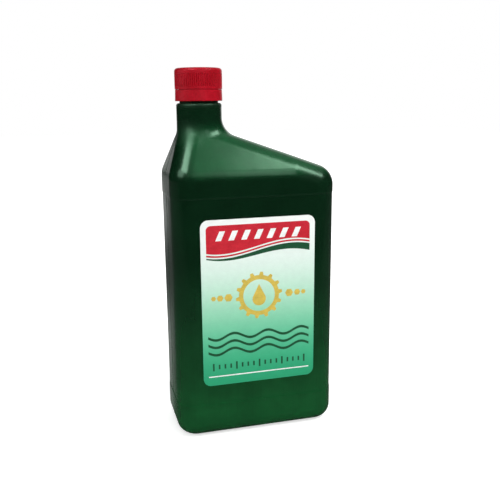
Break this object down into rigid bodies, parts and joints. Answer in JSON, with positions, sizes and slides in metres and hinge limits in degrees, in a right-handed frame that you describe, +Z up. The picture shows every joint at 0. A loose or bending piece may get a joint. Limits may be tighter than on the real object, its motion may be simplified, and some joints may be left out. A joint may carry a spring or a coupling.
{
  "type": "motor oil bottle",
  "caption": "Blow-moulded rectangular motor oil bottle with a sloping shoulder, an offset neck, a screw cap that unscrews, a tamper band and a front label.",
  "frame": {"origin": "middle of the foot, on the surface that the bottle stands on", "axes": "+Z up the bottle, +X across its width with the neck towards -X, -Y out of the label"},
  "size_m": [0.106, 0.056, 0.2338],
  "materials": {
    "bottle_plastic": "satin",
    "cap_plastic": "satin",
    "liner_foam": "matte",
    "label_paper": "satin"
  },
  "bodies": {
    "bottle": {"bottle": "bottle_plastic", "tamper_band": "cap_plastic", "front_label": "label_paper"},
    "liner": {"cap_liner": "liner_foam"},
    "cap": {"screw_cap": "cap_plastic"}
  },
  "joints": [
    {"name": "cap_rise", "type": "slide", "parent": "bottle", "child": "liner", "axis": [0, 0, 1], "range_m": [0, 0.0126]},
    {"name": "cap_turn", "type": "hinge", "parent": "liner", "child": "cap", "pos_m": [-0.03025, 0, 0.228], "axis": [0, 0, 1], "range_deg": [0, 1080]}
  ],
  "couplings": [
    {"joint": "cap_rise", "follows": "cap_turn", "m_per_rad": 0.00066845}
  ]
}
